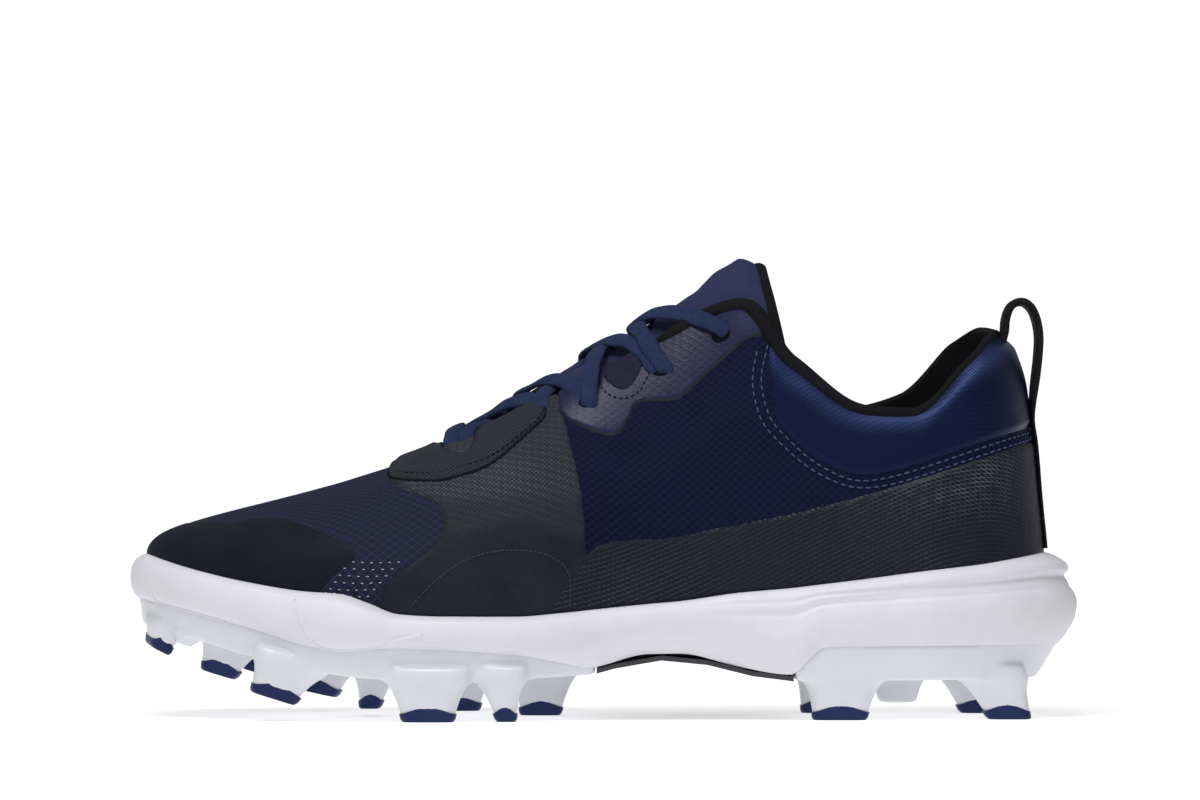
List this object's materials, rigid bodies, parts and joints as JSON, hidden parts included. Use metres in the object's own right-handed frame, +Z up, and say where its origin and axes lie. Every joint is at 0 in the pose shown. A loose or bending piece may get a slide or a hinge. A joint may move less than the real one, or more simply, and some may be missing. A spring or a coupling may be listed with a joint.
{
  "type": "baseball cleat",
  "caption": "Low left baseball cleat with a hollow panelled upper, laced throat, heel pull loop, cupped foam midsole and moulded studded outsole",
  "frame": {"origin": "middle of the footprint, on the floor that the studs stand on", "axes": "X along the shoe with the toe at -X and the heel at +X, Y across it with the lateral side at -Y, Z up"},
  "size_m": [0.3, 0.1093, 0.1445],
  "materials": {
    "navy_ripstop": "ripstop weave",
    "dark_film": "satin film",
    "saddle_mesh": "coated mesh",
    "padded_mesh": "padded mesh",
    "violet_film": "satin film",
    "satin": "satin twill",
    "textured_rubber": "small diamonds",
    "tongue_cloth": "smooth cloth",
    "black_webbing": "woven webbing",
    "lace_cloth": "flat woven lace",
    "insole_cloth": "plain cloth",
    "white_foam": "moulded foam",
    "black_plastic": "satin",
    "white_plastic": "satin, slightly milky",
    "blue_plastic": "satin"
  },
  "bodies": {
    "root": {"upper": "navy_ripstop", "toe_cap": "dark_film", "saddle_lateral": "saddle_mesh", "saddle_medial": "saddle_mesh", "eyestay_front": "padded_mesh", "eyestay_film_lateral": "violet_film", "eyestay_film_medial": "violet_film", "heel_rand": "textured_rubber", "collar_pad": "satin", "tongue": "tongue_cloth", "pull_loop": "black_webbing", "lace_bar_front": "lace_cloth", "lace_crossing_1": "lace_cloth", "lace_crossing_2": "lace_cloth", "lace_crossing_3": "lace_cloth", "lace_crossing_4": "lace_cloth", "insole": "insole_cloth", "midsole": "white_foam", "arch_plate": "black_plastic", "outsole_forefoot": "white_plastic", "outsole_heel": "white_plastic", "tip_toe_lateral": "blue_plastic", "tip_toe_centre": "blue_plastic", "tip_toe_medial": "blue_plastic", "tip_front_lateral": "blue_plastic", "tip_front_medial": "blue_plastic", "tip_mid_centre": "blue_plastic", "tip_ball_lateral": "blue_plastic", "tip_ball_medial": "blue_plastic", "tip_side_lateral": "blue_plastic", "tip_rear_centre": "blue_plastic", "tip_heel_front_lateral": "blue_plastic", "tip_heel_front_medial": "blue_plastic", "tip_heel_rear_lateral": "blue_plastic", "tip_heel_rear_medial": "blue_plastic"}
  },
  "joints": []
}
